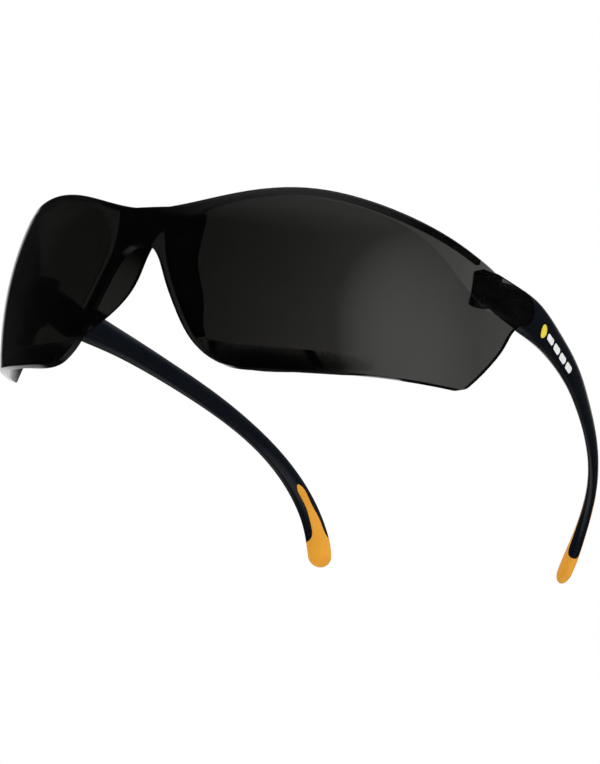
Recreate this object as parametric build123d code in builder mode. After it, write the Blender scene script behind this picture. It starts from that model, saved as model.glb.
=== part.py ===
from build123d import *
import os
from math import atan2, copysign, cos, degrees, hypot, pi, radians, sin

# Wrap-around safety glasses, in millimetres.
# +X is the wearer's left, +Y runs back towards the ears, +Z is up. The origin is the middle of
# the bridge's underside, where the glasses sit on the nose. The wearer's left half is drawn and
# the right half mirrors it.

os.makedirs("parts", exist_ok=True)

# --- Lens wall: gentle across the face, turned back sharply at the temples, domed in height,
#     and thinned from the bridge towards the temples ---
lens_wall = 2.15
side_wall = 1.2
taper_reach = 66.0
taper_power = 2.3
face_radius = 100.0
wrap_gain = 3.0e-10
dome_radius = 55.0
dome_height = -3.3
wall_half_width = 70.0
wall_levels = (-30, -20, -10, 0, 10, 20)
wall_steps = 16
cut_reach = 80.0
front_skin = 0.9

# --- Lens outline from the front, as (x, z) ---
brow_points = (
    (0, 8.7),
    (7, 9.5),
    (14, 11.3),
    (23, 13.9),
    (35, 15.8),
    (44, 15.4),
    (52, 14.0),
    (59, 11.7),
)
brow_end = (64.7, 7.6)
notch_points = ((0, 0), (3.4, -1.0), (7.8, -7.5), (11.5, -14.4), (15.9, -20.9), (22.5, -25.0))
lower_points = ((30, -25.3), (42, -24.2), (55, -21.9), (70, -18.6))
outline_reach = 76.0

# --- Lens outline from the side, as (y, z): the raked rear edge and the round hinge lug ---
rear_edge = ((48.4, -3.8), (46.8, -7.8), (44.5, -12.3), (41.7, -16.8), (38.8, -21.0), (36.0, -27.0))
lug_front = ((42.6, 7.6), (36.0, 11.6), (20.0, 40.0))
lug_centre = (49.7, 2.3)
lug_radius = 4.1
lug_start = -83.0
lug_sweep = 170.0
corner_radius = 2.0
corner_edge = 4.0
corner_level = -17.0

# --- Stepped border round the field of view, on the front face, as (x, z) ---
field_points = (
    (26.0, -27.5),
    (18.3, -19.6),
    (14.0, -13.3),
    (10.4, -6.5),
    (8.9, 0.0),
    (10.8, 5.2),
    (16.4, 10.1),
    (24.0, 12.7),
    (33.0, 13.5),
    (43.0, 13.1),
    (51.7, 11.5),
    (57.2, 8.5),
    (60.9, 3.8),
    (65.0, -1.5),
)
border_step = 0.18

# --- Brow ledge, cheek bead and nose flanges, all behind the lens. A bead station is x, z of its
#     foot, height and depth ---
ledge_end = (62.3, 9.7)
ledge_depths = (5.0, 4.2, 2.0, 0.9, 0.9, 1.2, 1.4, 1.4, 1.3)
ledge_height = 1.1
edge_step = 0.3
bead_stations = (
    (16.0, -20.5, 3.0, -0.15),
    (21.0, -23.9, 4.0, 0.6),
    (26.5, -24.9, 5.0, 1.6),
    (33.0, -24.8, 5.0, 1.9),
    (39.5, -24.1, 4.6, 1.3),
    (46.0, -23.1, 4.0, 0.4),
    (51.0, -22.2, 3.5, -0.15),
)
bead_root = 0.25
bead_foot = 0.8
flange_depth = 12.0
flange_flare = 1.4
arch_points = (
    (0, 6.6),
    (2.4, 5.6),
    (4.8, 1.2),
    (6.3, -3.2),
    (8.6, -8.2),
    (11.9, -14.6),
    (16.2, -21.0),
    (22.5, -25.0),
)
flange_points = ((9.4, 9.4), (8.0, 5.0), (7.8, -1.2), (10.2, -7.5), (13.8, -14.4), (18.6, -20.2))
flange_rear = ((8.0, 9.4), (9.4, 5.0), (9.8, 0.0), (10.4, -7.5), (8.4, -13.5), (5.2, -19.0), (2.6, -24.0))

# --- Hinge ---
hinge_x = 64.1
pin_radius = 0.9
pin_head_radius = 1.5
pin_head_height = 0.5
ear_radius = 2.7
ear_height = 1.3
ear_length = 12.0
ear_reach = 8.0
slot_depth = 6.0
bore_length = 20.0
knuckle_radius = 2.6
knuckle_bottom = 2.1
knuckle_top = 6.1
joint_gap = 0.25
running_clearance = 0.05

# --- Temple: centre line behind the pin, and (half height, half thickness) at equal steps ---
temple_path = (
    (65.2, 58.0, 3.0),
    (63.2, 75.0, 2.0),
    (60.2, 91.0, 0.2),
    (55.8, 108.0, -3.0),
    (50.8, 125.0, -8.2),
    (45.3, 138.6, -16.6),
    (40.6, 144.8, -26.0),
    (37.3, 146.5, -35.2),
)
temple_sizes = (
    (2.1, 2.4),
    (4.5, 2.6),
    (4.3, 2.5),
    (3.6, 2.25),
    (3.2, 2.0),
    (3.0, 1.65),
    (2.9, 1.35),
    (2.8, 1.1),
    (2.7, 1.05),
    (2.7, 1.15),
    (2.85, 1.35),
    (3.1, 1.6),
    (3.3, 1.8),
)
cap_length = 3.3
cap_steps = 6
cap_turn = 0.47 * pi
section_power = 2.15
section_points = 16

# --- Tip: it turns its inner face towards the cheek. The grip's half width is given by fraction of
#     the temple's centre line: a widening tongue, then the whole paddle ---
twist_start = 0.65
tip_twist = 38.0
grip_widths = (
    (0.835, 0.3),
    (0.842, 0.8),
    (0.87, 1.05),
    (0.91, 1.3),
    (0.94, 1.65),
    (0.96, 2.3),
    (0.97, 4.5),
    (1.0, 4.5),
)
grip_depth = 8.0


def wall_slope(x):
    """Slope of the wall's plan curve."""
    return x / face_radius + 6 * wrap_gain * x**5


def wall_thickness(x):
    """Wall thickness at x: full at the bridge, thin at the temples."""
    share = min(abs(x) / taper_reach, 1) ** taper_power
    return lens_wall - (lens_wall - side_wall) * share


def outer(shift):
    """Offset of a surface that lies shift behind the lens's outer face."""
    return lambda x: shift - lens_wall / 2


def inner(shift):
    """Offset of a surface that lies shift behind the lens's tapered inner face."""
    return lambda x: shift + wall_thickness(x) - lens_wall / 2


def wall_point(x, z, offset):
    """Plan point of the wall at height z, moved by offset along its normal, towards the face."""
    plan = x * x / (2 * face_radius) + wrap_gain * x**6
    dome = ((z - dome_height) ** 2 - dome_height**2) / (2 * dome_radius)
    slope = wall_slope(x)
    step = offset / hypot(slope, 1)
    return (x - slope * step, plan + dome + step)


def wall_sections(near, far):
    """Plan sections between two surfaces that follow the lens wall."""
    positions = [wall_half_width * sin(pi * step / wall_steps - pi / 2) for step in range(wall_steps + 1)]
    sections = []
    for level in wall_levels:
        with BuildSketch(Plane.XY.offset(level)) as section:
            with BuildLine():
                front = Spline(*[wall_point(x, level, near(x)) for x in positions])
                back = Spline(*[wall_point(x, level, far(x)) for x in positions])
                Line(front @ 0, back @ 0)
                Line(front @ 1, back @ 1)
            make_face()
        sections.append(section.sketch)
    return sections


def side_outline():
    """Side outline of lens and lug."""
    with BuildSketch(Plane.YZ) as outline:
        with BuildLine():
            end = CenterArc(lug_centre, lug_radius, lug_start, lug_sweep)
            top_line = Polyline(end @ 1, *lug_front, (-20, 40))
            rear = Spline(end @ 0, *rear_edge)
            Polyline(top_line @ 1, (-20, -45), rear @ 1)
        make_face()
    return outline.sketch


def ear_plan(height, gap=0.0):
    """Plan of a hinge ear: a round about the pin, joined to the lens wall."""
    with BuildSketch(Plane.XY.offset(height)) as plan:
        with Locations((pin_x, pin_y)):
            Circle(ear_radius + gap)
        with Locations(Location((pin_x, pin_y), ear_angle)):
            Rectangle(ear_length, 2 * (ear_radius + gap), align=(Align.MIN, Align.CENTER))
    return plan.sketch


def temple_plane(fraction, beyond=0.0):
    """Plane square across a temple, its x pointing outwards, turned back a little near the tip."""
    along = centre_line % fraction
    twist = radians(tip_twist * max(0, fraction - twist_start) / (1 - twist_start))
    return Plane(centre_line @ fraction + along * beyond, x_dir=(cos(twist), sin(twist), 0), z_dir=along)


def standing_plane(x, z):
    """Upright plane square to the wall at x, its x pointing back from the face."""
    slope = wall_slope(x)
    return Plane((*wall_point(x, z, 0), z), x_dir=(-slope, 1, 0), z_dir=(1, slope, 0))


def ledge_section(x, z, depth):
    """Section of the brow ledge, just under the lens's top edge."""
    with BuildSketch(standing_plane(x, z - edge_step)) as section:
        Rectangle(inner(depth)(x), ledge_height, align=(Align.MIN, Align.MAX))
    return section.sketch


def bead_section(x, z, height, depth):
    """Section of the cheek bead: thickest at its foot, fading upwards into the wall."""
    root = inner(0)(x) - bead_root
    back = inner(depth)(x)
    with BuildSketch(standing_plane(x, z)) as section:
        with BuildLine():
            Polyline((root, 0), (back, 0), (back, bead_foot), (root, height), close=True)
        make_face()
    return section.sketch


def rounded_section(plane, half_height, half_thickness):
    """Cross-section of a temple: a soft rounded rectangle, thickness along the plane's x."""
    points = []
    for step in range(section_points):
        angle = 2 * pi * step / section_points
        across = copysign(abs(cos(angle)) ** (2 / section_power), cos(angle))
        up = copysign(abs(sin(angle)) ** (2 / section_power), sin(angle))
        points.append((half_thickness * across, half_height * up))
    with BuildSketch(plane) as section:
        with BuildLine():
            Spline(*points, periodic=True)
        make_face()
    return section.sketch


pin_offset = inner(joint_gap + knuckle_radius)(hinge_x)
knuckle_height = knuckle_top - knuckle_bottom
knuckle_middle = (knuckle_bottom + knuckle_top) / 2
pin_x, pin_y = wall_point(hinge_x, knuckle_middle, pin_offset)
ear_angle = degrees(atan2(-1, wall_slope(hinge_x)))
lower_ear_bottom = knuckle_bottom - joint_gap - ear_height
upper_ear_bottom = knuckle_top + joint_gap
upper_ear_top = upper_ear_bottom + ear_height

# --- Border: a thin layer of the front face, all round the field of view ---
with BuildPart() as front_border:
    loft(wall_sections(outer(-3), outer(border_step)))
    with BuildSketch(Plane.XZ):
        with BuildLine():
            field = Spline(*field_points)
            Polyline(field @ 1, (90, field_points[-1][1]), (90, field_points[0][1]), field @ 0)
        make_face()
        mirror(about=Plane.YZ)
    extrude(amount=cut_reach, both=True, mode=Mode.SUBTRACT)

# --- Brow ledge: a shelf behind the top edge, deepest at the bridge ---
with BuildPart() as brow_ledge:
    ledge_feet = (*brow_points, ledge_end)
    loft([ledge_section(x, z, depth) for (x, z), depth in zip(ledge_feet, ledge_depths)])
    mirror(about=Plane.YZ)

# --- Cheek beads: low swellings behind the bottom edge, beside the nose ---
with BuildPart() as cheek_beads:
    loft([bead_section(*station) for station in bead_stations])
    mirror(about=Plane.YZ)

# --- Nose flanges: they run back from the notch, and meet in an arch behind the bridge ---
with BuildPart() as nose_flanges:
    loft(wall_sections(outer(front_skin), inner(flange_depth)))
    for depth, flare in ((-10, 0), (20, flange_flare)):
        with BuildSketch(Plane.XZ.offset(-depth)):
            with BuildLine():
                arch = Spline(*[(x + flare * min(1, x / 3), z) for x, z in arch_points])
                side = Spline(*[(x + flare, z) for x, z in flange_points])
                Line(side @ 0, (0, flange_points[0][1]))
                Line(arch @ 1, side @ 1)
                mirror(about=Plane.YZ)
            make_face()
    loft(mode=Mode.INTERSECT)
    with BuildSketch(Plane.YZ):
        with BuildLine():
            rear = Spline(*flange_rear)
            Polyline(rear @ 0, (-20, flange_rear[0][1]), (-20, flange_rear[-1][1]), rear @ 1)
        make_face()
    extrude(amount=cut_reach, both=True, mode=Mode.INTERSECT)

# --- Hinge ears: two on each side, above and below the temple's knuckle ---
with BuildPart() as hinge_ears:
    for bottom in (lower_ear_bottom, upper_ear_bottom):
        extrude(ear_plan(bottom), amount=ear_height)
    loft(wall_sections(outer(front_skin), inner(ear_reach)), mode=Mode.INTERSECT)
    with Locations((pin_x, pin_y, knuckle_middle)):
        Cylinder(pin_radius, bore_length, mode=Mode.SUBTRACT)
    with Locations((pin_x, pin_y, lower_ear_bottom)):
        Cylinder(pin_head_radius, 2 * pin_head_height, mode=Mode.SUBTRACT)
    mirror(about=Plane.YZ)

# --- Lens shield: wall, ledge, beads, flanges and ears in one moulding ---
with BuildPart() as lens_shield:
    loft(wall_sections(outer(0), inner(0)))
    with BuildSketch(Plane.XZ):
        with BuildLine():
            brow = Spline(*brow_points, brow_end)
            edge = Spline(*notch_points, *lower_points)
            side_top = (outline_reach, brow_end[1])
            side_foot = (outline_reach, lower_points[-1][1] + 1)
            Polyline(brow @ 1, side_top, side_foot, edge @ 1)
            mirror(about=Plane.YZ)
        make_face()
    extrude(amount=cut_reach, both=True, mode=Mode.INTERSECT)
    extrude(side_outline(), amount=cut_reach, both=True, mode=Mode.INTERSECT)
    corners = lens_shield.edges().filter_by(
        lambda edge: edge.length < corner_edge and edge.center().Z < corner_level
    )
    fillet(corners, radius=corner_radius)
    add(front_border.part, mode=Mode.SUBTRACT)
    add(brow_ledge.part)
    add(cheek_beads.part)
    add(nose_flanges.part)
    add(hinge_ears.part)

# --- Temple envelope: the outer shape of arm and tip grip together, with a round end ---
with BuildLine() as temple_line:
    Spline((pin_x, pin_y, knuckle_middle), *temple_path)
centre_line = temple_line.edge()

with BuildPart() as envelope:
    sections = []
    for step, (half_height, half_thickness) in enumerate(temple_sizes):
        fraction = step / (len(temple_sizes) - 1)
        sections.append(rounded_section(temple_plane(fraction), half_height, half_thickness))
    for step in range(1, cap_steps + 1):
        angle = cap_turn * step / cap_steps
        plane = temple_plane(1, cap_length * sin(angle))
        sections.append(rounded_section(plane, half_height * cos(angle), half_thickness * cos(angle)))
    loft(sections)

# --- Grip region: a widening tongue through the arm, then the whole paddle end ---
with BuildPart() as grip_region:
    slots = []
    for fraction, half_width in grip_widths:
        with BuildSketch(temple_plane(fraction)) as slot:
            Rectangle(grip_depth, 2 * half_width)
        slots.append(slot.sketch)
    loft(slots)
    extrude(slots[-1], amount=2 * cap_length)

# --- Clearance for the lens lug, which lies over the arm's outer face ---
with BuildPart() as lug_clearance:
    loft(wall_sections(outer(-8), inner(joint_gap)))
    with BuildSketch(Plane.YZ):
        with Locations(lug_centre):
            Circle(lug_radius + joint_gap)
            Rectangle(80, 80, align=(Align.MAX, Align.CENTER))
    extrude(amount=cut_reach, both=True, mode=Mode.INTERSECT)

# --- Temple arms ---
with BuildPart() as temple_left:
    add(envelope.part)
    with Locations((pin_x, pin_y, knuckle_middle)):
        Cylinder(knuckle_radius, knuckle_height)
    extrude(ear_plan(knuckle_bottom, joint_gap), amount=-slot_depth, mode=Mode.SUBTRACT)
    extrude(ear_plan(knuckle_top, joint_gap), amount=slot_depth, mode=Mode.SUBTRACT)
    add(lug_clearance.part, mode=Mode.SUBTRACT)
    add(grip_region.part, mode=Mode.SUBTRACT)
    with Locations((pin_x, pin_y, knuckle_middle)):
        Cylinder(pin_radius + running_clearance, bore_length, mode=Mode.SUBTRACT)

# --- Tip grips: soft, moulded into the arm's fork ---
with BuildPart() as temple_tip_left:
    add(envelope.part)
    add(grip_region.part, mode=Mode.INTERSECT)

# --- Hinge pins: a straight shank with a flat head sunk in the lower ear ---
with BuildPart() as hinge_pin_left:
    with BuildSketch(Plane.XY.offset(lower_ear_bottom)):
        with Locations((pin_x, pin_y)):
            Circle(pin_head_radius)
    extrude(amount=pin_head_height)
    with BuildSketch(Plane.XY.offset(lower_ear_bottom)):
        with Locations((pin_x, pin_y)):
            Circle(pin_radius)
    extrude(amount=upper_ear_top - lower_ear_bottom)

with BuildPart() as temple_right:
    mirror(temple_left.part, about=Plane.YZ)
with BuildPart() as temple_tip_right:
    mirror(temple_tip_left.part, about=Plane.YZ)
with BuildPart() as hinge_pin_right:
    mirror(hinge_pin_left.part, about=Plane.YZ)

pieces = {
    "lens_shield": lens_shield,
    "temple_left": temple_left,
    "temple_right": temple_right,
    "temple_tip_left": temple_tip_left,
    "temple_tip_right": temple_tip_right,
    "hinge_pin_left": hinge_pin_left,
    "hinge_pin_right": hinge_pin_right,
}
for name, piece in pieces.items():
    piece.part.label = name
    export_step(piece.part, f"parts/{name}.step")
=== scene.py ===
import bmesh
import bpy
from math import cos, pi, radians, sin
from mathutils import Matrix, Vector
from mathutils.bvhtree import BVHTree


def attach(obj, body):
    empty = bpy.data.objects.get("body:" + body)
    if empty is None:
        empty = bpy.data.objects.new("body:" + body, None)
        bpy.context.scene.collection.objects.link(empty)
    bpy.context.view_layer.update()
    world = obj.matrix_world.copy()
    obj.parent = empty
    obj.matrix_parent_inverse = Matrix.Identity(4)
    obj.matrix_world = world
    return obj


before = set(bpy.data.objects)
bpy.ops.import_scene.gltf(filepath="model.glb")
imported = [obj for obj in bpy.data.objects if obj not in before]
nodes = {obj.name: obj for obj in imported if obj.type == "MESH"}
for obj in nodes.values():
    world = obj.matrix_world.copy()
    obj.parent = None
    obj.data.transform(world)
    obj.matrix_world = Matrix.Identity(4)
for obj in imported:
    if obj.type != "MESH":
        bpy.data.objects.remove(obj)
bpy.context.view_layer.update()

# --- Camera: low in front on the wearer's left, looking slightly up, a little rolled ---
CAMERA_PLACE = (0.3307, -0.4058, -0.1543)
CAMERA_RIGHT = Vector((0.8319, 0.5255, 0.1780))
CAMERA_BACK = Vector((0.5547, -0.7960, -0.2424))
CAMERA_LENS = 117.0
SENSOR_WIDTH = 36.0
CLIP_NEAR = 0.01
CLIP_FAR = 20.0

# --- Studio: a floor, three softboxes, and what gloss mirrors ---
FLOOR_HEIGHT = -0.21
FLOOR_REACH = 2.5
LIGHT_TARGET = (0, 0.06, -0.01)
SOFTBOXES = (  # name, place, size, power
    ("top_softbox", (0.0, 0.1, 0.9), (0.9, 0.9), 2.5),
    ("left_softbox", (-0.9, 0.1, 0.2), (0.5, 0.8), 1.5),
    ("right_softbox", (0.95, 0.25, 0.25), (0.5, 0.8), 1.5),
)
BACKDROP_LIGHT = (1.0, 1.0, 1.0)
ROOM_DARK = 0.02
GLOW_BRIGHT = 1.0  # straight up and straight down, by the steepness of the mirrored ray
GLOW_START = 0.55
GLOW_STOP = 1.1
PANELS = (  # direction, brightness, and the cosines from it where the light starts and is full
    ((-0.555, 0.796, 0.242), 1.5, 0.9, 0.985),
    ((0.945, -0.31, 0.05), 0.8, 0.84, 1.0),
)

# --- Surfaces ---
SHARP_ANGLE = radians(32)
EDGE_RADIUS = 0.0003
PIN_EDGE_RADIUS = 0.0001
BEVEL_SAMPLES = 4
SMOKE_COLOUR = (0.115, 0.11, 0.095, 1)
SMOKE_DENSITY = 2520
YELLOW_INK = ((0.72, 0.56, 0.02), (0.82, 0.66, 0.04))
WHITE_INK = ((0.74, 0.74, 0.74), (0.84, 0.84, 0.84))

# --- Printed mark on the wearer's-left arm: a dot, then a row of plain bars ---
MARK_START = 0.0625
MARK_HEIGHT = 0.0012
MARK_SLOPE = 0.085
MARK_LIFT = 0.00003
MARK_STEPS = 12
WELD_DISTANCE = 1e-7
RING_SHARES = (1.0, 0.66, 0.33)
RAY_START = 0.09
DOT_SIZE = 0.0030
BAR_COUNT = 4
BAR_LENGTH = 0.0045
BAR_WIDTH = 0.0014
BAR_PITCH = 0.0055
BAR_OFFSET = 0.0048


def place_camera():
    """Camera from its place and two of its axes."""
    data = bpy.data.cameras.new("camera")
    data.lens = CAMERA_LENS
    data.sensor_width = SENSOR_WIDTH
    data.clip_start = CLIP_NEAR
    data.clip_end = CLIP_FAR
    camera = bpy.data.objects.new("camera", data)
    back = CAMERA_BACK.normalized()
    up = back.cross(CAMERA_RIGHT).normalized()
    turn = Matrix((up.cross(back), up, back)).transposed()
    camera.matrix_world = Matrix.Translation(CAMERA_PLACE) @ turn.to_4x4()
    bpy.context.scene.collection.objects.link(camera)
    bpy.context.scene.camera = camera


def area_light(name, place, size, power):
    """Rectangular softbox that faces the glasses and isn't mirrored in them."""
    data = bpy.data.lights.new(name, "AREA")
    data.shape = "RECTANGLE"
    data.size, data.size_y = size
    data.energy = power
    lamp = bpy.data.objects.new(name, data)
    direction = Vector(LIGHT_TARGET) - Vector(place)
    lamp.location = place
    lamp.rotation_euler = direction.to_track_quat("-Z", "Y").to_euler()
    lamp.visible_glossy = False
    bpy.context.scene.collection.objects.link(lamp)


def new_surface(name):
    """New material with one Principled shader: the material, its tree and the shader."""
    material = bpy.data.materials.new(name)
    material.use_nodes = True
    tree = material.node_tree
    tree.nodes.clear()
    shader = tree.nodes.new("ShaderNodeBsdfPrincipled")
    output = tree.nodes.new("ShaderNodeOutputMaterial")
    tree.links.new(shader.outputs["BSDF"], output.inputs["Surface"])
    return material, tree, shader


def object_noise(tree, scale, detail, stretch=(1, 1, 1)):
    """Noise in the object's own metres."""
    place = tree.nodes.new("ShaderNodeTexCoord")
    mapping = tree.nodes.new("ShaderNodeMapping")
    mapping.inputs["Scale"].default_value = stretch
    noise = tree.nodes.new("ShaderNodeTexNoise")
    noise.inputs["Scale"].default_value = scale
    noise.inputs["Detail"].default_value = detail
    tree.links.new(place.outputs["Object"], mapping.inputs["Vector"])
    tree.links.new(mapping.outputs["Vector"], noise.inputs["Vector"])
    return noise.outputs["Fac"]


def spread(tree, value, low, high, start=0.3, stop=0.7):
    """Map a 0 to 1 value between start and stop onto low to high."""
    node = tree.nodes.new("ShaderNodeMapRange")
    node.inputs["From Min"].default_value = start
    node.inputs["From Max"].default_value = stop
    node.inputs["To Min"].default_value = low
    node.inputs["To Max"].default_value = high
    tree.links.new(value, node.inputs["Value"])
    return node.outputs["Result"]


def colour_ramp(tree, value, stops):
    """Colour from a value through (position, colour) stops."""
    node = tree.nodes.new("ShaderNodeValToRGB")
    ramp = node.color_ramp
    while len(ramp.elements) < len(stops):
        ramp.elements.new(0.5)
    for element, (position, colour) in zip(ramp.elements, stops):
        element.position = position
        element.color = (*colour, 1)
    tree.links.new(value, node.inputs["Fac"])
    return node.outputs["Color"]


def bump(tree, height, strength, distance, normal=None):
    """Bump from a height value, over an optional base normal."""
    node = tree.nodes.new("ShaderNodeBump")
    node.inputs["Strength"].default_value = strength
    node.inputs["Distance"].default_value = distance
    tree.links.new(height, node.inputs["Height"])
    if normal is not None:
        tree.links.new(normal, node.inputs["Normal"])
    return node.outputs["Normal"]


def rounded_normal(tree, radius):
    """Normal that rounds the edges over a small radius."""
    node = tree.nodes.new("ShaderNodeBevel")
    node.samples = BEVEL_SAMPLES
    node.inputs["Radius"].default_value = radius
    return node.outputs["Normal"]


def smoke_material():
    """Dark smoke polycarbonate: clear gloss surface over an absorbing body."""
    material, tree, shader = new_surface("smoke_polycarbonate")
    shader.inputs["Transmission Weight"].default_value = 1.0
    shader.inputs["IOR"].default_value = 1.58
    haze = object_noise(tree, scale=60, detail=4)
    tint = colour_ramp(tree, haze, ((0.3, (0.86, 0.88, 0.88)), (0.7, (0.95, 0.95, 0.95))))
    tree.links.new(tint, shader.inputs["Base Color"])
    smear = object_noise(tree, scale=140, detail=5, stretch=(1, 1, 2.5))
    tree.links.new(spread(tree, smear, low=0.02, high=0.07), shader.inputs["Roughness"])
    flow = object_noise(tree, scale=35, detail=1)
    tree.links.new(bump(tree, flow, strength=0.05, distance=0.0002), shader.inputs["Normal"])
    body = tree.nodes.new("ShaderNodeVolumeAbsorption")
    body.inputs["Color"].default_value = SMOKE_COLOUR
    body.inputs["Density"].default_value = SMOKE_DENSITY
    tree.links.new(body.outputs["Volume"], tree.get_output_node("ALL").inputs["Volume"])
    return material


def arm_material():
    """Matte dark navy moulded plastic with a fine spark-eroded grain."""
    material, tree, shader = new_surface("navy_arm_plastic")
    shader.inputs["IOR"].default_value = 1.5
    cloud = object_noise(tree, scale=90, detail=4)
    stops = ((0.25, (0.0016, 0.0030, 0.0058)), (0.75, (0.0030, 0.0050, 0.0090)))
    tint = colour_ramp(tree, cloud, stops)
    tree.links.new(tint, shader.inputs["Base Color"])
    grain = object_noise(tree, scale=2600, detail=2)
    wear = object_noise(tree, scale=220, detail=4)
    tree.links.new(spread(tree, wear, low=0.19, high=0.27), shader.inputs["Roughness"])
    soft_edges = rounded_normal(tree, EDGE_RADIUS)
    texture = bump(tree, grain, strength=0.08, distance=0.00002, normal=soft_edges)
    tree.links.new(texture, shader.inputs["Normal"])
    return material


def tip_material():
    """Soft amber rubber, slightly translucent, with a fine satin skin."""
    material, tree, shader = new_surface("amber_tip_rubber")
    shader.inputs["IOR"].default_value = 1.45
    shader.inputs["Subsurface Weight"].default_value = 0.12
    shader.inputs["Subsurface Radius"].default_value = (0.001, 0.0005, 0.0002)
    cloud = object_noise(tree, scale=150, detail=4)
    tint = colour_ramp(tree, cloud, ((0.3, (0.70, 0.295, 0.010)), (0.7, (0.80, 0.35, 0.016))))
    tree.links.new(tint, shader.inputs["Base Color"])
    skin = object_noise(tree, scale=1800, detail=3)
    tree.links.new(spread(tree, skin, low=0.42, high=0.58), shader.inputs["Roughness"])
    soft_edges = rounded_normal(tree, EDGE_RADIUS)
    texture = bump(tree, skin, strength=0.3, distance=0.00004, normal=soft_edges)
    tree.links.new(texture, shader.inputs["Normal"])
    return material


def pin_material():
    """Turned steel with fine rings round its upright axis."""
    material, tree, shader = new_surface("turned_pin_steel")
    shader.inputs["Metallic"].default_value = 1.0
    rings = object_noise(tree, scale=400, detail=3, stretch=(1, 1, 14))
    tint = colour_ramp(tree, rings, ((0.3, (0.42, 0.42, 0.43)), (0.7, (0.60, 0.60, 0.62))))
    tree.links.new(tint, shader.inputs["Base Color"])
    tree.links.new(spread(tree, rings, low=0.22, high=0.40), shader.inputs["Roughness"])
    soft_edges = rounded_normal(tree, PIN_EDGE_RADIUS)
    texture = bump(tree, rings, strength=0.2, distance=0.00002, normal=soft_edges)
    tree.links.new(texture, shader.inputs["Normal"])
    return material


def floor_material():
    """Pale matt floor with a very faint mottle."""
    material, tree, shader = new_surface("pale_floor")
    shader.inputs["Roughness"].default_value = 0.85
    mottle = object_noise(tree, scale=6, detail=5)
    tint = colour_ramp(tree, mottle, ((0.3, (0.80, 0.80, 0.79)), (0.7, (0.84, 0.84, 0.83))))
    tree.links.new(tint, shader.inputs["Base Color"])
    return material


def ink_material(name, low, high):
    """Pad-printed ink: nearly flat colour with a slight speckle and satin sheen."""
    material, tree, shader = new_surface(name)
    speckle = object_noise(tree, scale=900, detail=3)
    tint = colour_ramp(tree, speckle, ((0.3, low), (0.7, high)))
    tree.links.new(tint, shader.inputs["Base Color"])
    tree.links.new(spread(tree, speckle, low=0.35, high=0.55), shader.inputs["Roughness"])
    tree.links.new(bump(tree, speckle, strength=0.2, distance=0.00002), shader.inputs["Normal"])
    return material


def dress(name, material):
    """Give a CAD node its material and smooth shading."""
    node = nodes[name]
    node.data.materials.clear()
    node.data.materials.append(material)
    node.data.shade_smooth()
    node.data.set_sharp_from_angle(angle=SHARP_ANGLE)


def rounded_bar(length, width):
    """Outline of a bar with rounded ends, about its middle. Equal length and width give a disc."""
    outline = []
    for end in (1, -1):
        for step in range(MARK_STEPS + 1):
            angle = end * pi / 2 - pi * step / MARK_STEPS
            along = end * (length - width) / 2 + width / 2 * cos(angle)
            outline.append((along, width / 2 * sin(angle)))
    return outline


def printed_shape(bm, skin, middle, outline):
    """One inked shape wrapped onto the arm's outer face, as a thin closed slab."""
    rings = []
    for lift in (MARK_LIFT, -MARK_LIFT):
        for share in RING_SHARES:
            ring = []
            for along, up in outline:
                y = middle[0] + share * along
                z = middle[1] + share * (up - along * MARK_SLOPE)
                spot, normal, _, _ = skin.ray_cast(Vector((RAY_START, y, z)), Vector((-1, 0, 0)))
                ring.append(bm.verts.new(spot + normal * lift))
            rings.append(ring)
    front = rings[: len(RING_SHARES)]
    rear = rings[len(RING_SHARES) :]
    count = len(outline)
    for k in range(count):
        m = (k + 1) % count
        for near, far in ((front[0], front[1]), (front[1], front[2])):
            bm.faces.new((near[k], near[m], far[m], far[k]))
        for near, far in ((rear[0], rear[1]), (rear[1], rear[2])):
            bm.faces.new((near[m], near[k], far[k], far[m]))
        bm.faces.new((rear[0][k], rear[0][m], front[0][m], front[0][k]))
    bm.faces.new(front[2])
    bm.faces.new(rear[2][::-1])


def print_mark(name, material, shapes):
    """Inked shapes on the wearer's-left arm, as one piece."""
    skin = BVHTree.FromObject(nodes["temple_left"], bpy.context.evaluated_depsgraph_get())
    bm = bmesh.new()
    for middle, outline in shapes:
        printed_shape(bm, skin, middle, outline)
    bmesh.ops.remove_doubles(bm, verts=bm.verts, dist=WELD_DISTANCE)
    bmesh.ops.recalc_face_normals(bm, faces=bm.faces)
    mesh = bpy.data.meshes.new(name)
    bm.to_mesh(mesh)
    bm.free()
    piece = bpy.data.objects.new(name, mesh)
    piece.data.materials.append(material)
    bpy.context.scene.collection.objects.link(piece)
    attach(piece, "arm_left")


def build_studio():
    """Floor, backdrop light and softboxes."""
    bpy.ops.mesh.primitive_plane_add(size=2 * FLOOR_REACH, location=(0, 0, FLOOR_HEIGHT))
    floor = bpy.context.object
    floor.name = "floor"
    floor.data.materials.append(floor_material())
    floor.visible_glossy = False

    light_world()
    for name, place, size, power in SOFTBOXES:
        area_light(name, place, size, power)


def math_node(tree, operation, *values):
    """Result of one math node on linked values."""
    node = tree.nodes.new("ShaderNodeMath")
    node.operation = operation
    for socket, value in zip(node.inputs, values):
        tree.links.new(value, socket)
    return node.outputs["Value"]


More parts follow.
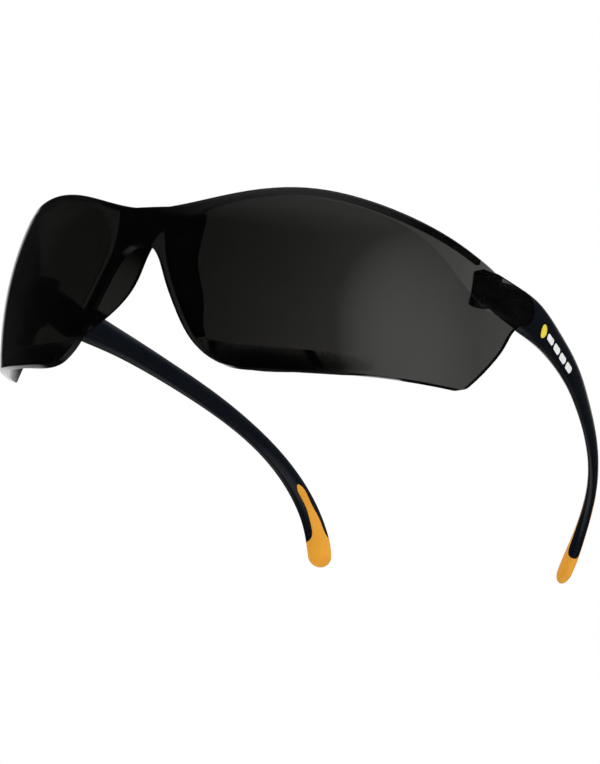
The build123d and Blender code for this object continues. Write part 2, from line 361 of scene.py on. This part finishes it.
def light_world():
    """White backdrop and fill. Gloss mirrors a dark room, glow above and below, and two panels."""
    world = bpy.data.worlds.new("studio")
    bpy.context.scene.world = world
    world.use_nodes = True
    tree = world.node_tree
    tree.nodes.clear()
    output = tree.nodes.new("ShaderNodeOutputWorld")
    seen = tree.nodes.new("ShaderNodeBackground")
    seen.inputs["Color"].default_value = (*BACKDROP_LIGHT, 1)
    place = tree.nodes.new("ShaderNodeTexCoord")
    split = tree.nodes.new("ShaderNodeSeparateXYZ")
    tree.links.new(place.outputs["Generated"], split.inputs[0])
    steep = math_node(tree, "ABSOLUTE", split.outputs["Z"])
    glow = spread(tree, steep, ROOM_DARK, GLOW_BRIGHT, GLOW_START, GLOW_STOP)
    for direction, strength, start, stop in PANELS:
        toward = tree.nodes.new("ShaderNodeVectorMath")
        toward.operation = "DOT_PRODUCT"
        toward.inputs[1].default_value = direction
        tree.links.new(place.outputs["Generated"], toward.inputs[0])
        panel = spread(tree, toward.outputs["Value"], ROOM_DARK, strength, start, stop)
        glow = math_node(tree, "MAXIMUM", glow, panel)
    room = tree.nodes.new("ShaderNodeBackground")
    tree.links.new(glow, room.inputs["Strength"])
    path = tree.nodes.new("ShaderNodeLightPath")
    mix = tree.nodes.new("ShaderNodeMixShader")
    tree.links.new(path.outputs["Is Glossy Ray"], mix.inputs["Fac"])
    tree.links.new(seen.outputs[0], mix.inputs[1])
    tree.links.new(room.outputs[0], mix.inputs[2])
    tree.links.new(mix.outputs[0], output.inputs["Surface"])


place_camera()
build_studio()
bpy.context.scene.view_settings.view_transform = "Standard"
smoke = smoke_material()
navy = arm_material()
amber = tip_material()
steel = pin_material()
dress("lens_shield", smoke)
for side in ("left", "right"):
    dress(f"temple_{side}", navy)
    dress(f"temple_tip_{side}", amber)
    dress(f"hinge_pin_{side}", steel)

dot = ((MARK_START, MARK_HEIGHT), rounded_bar(DOT_SIZE, DOT_SIZE))
print_mark("mark_dot", ink_material("yellow_ink", *YELLOW_INK), [dot])
bars = []
for number in range(BAR_COUNT):
    offset = BAR_OFFSET + number * BAR_PITCH
    middle = (MARK_START + offset, MARK_HEIGHT - offset * MARK_SLOPE)
    bars.append((middle, rounded_bar(BAR_LENGTH, BAR_WIDTH)))
print_mark("mark_bars", ink_material("white_ink", *WHITE_INK), bars)
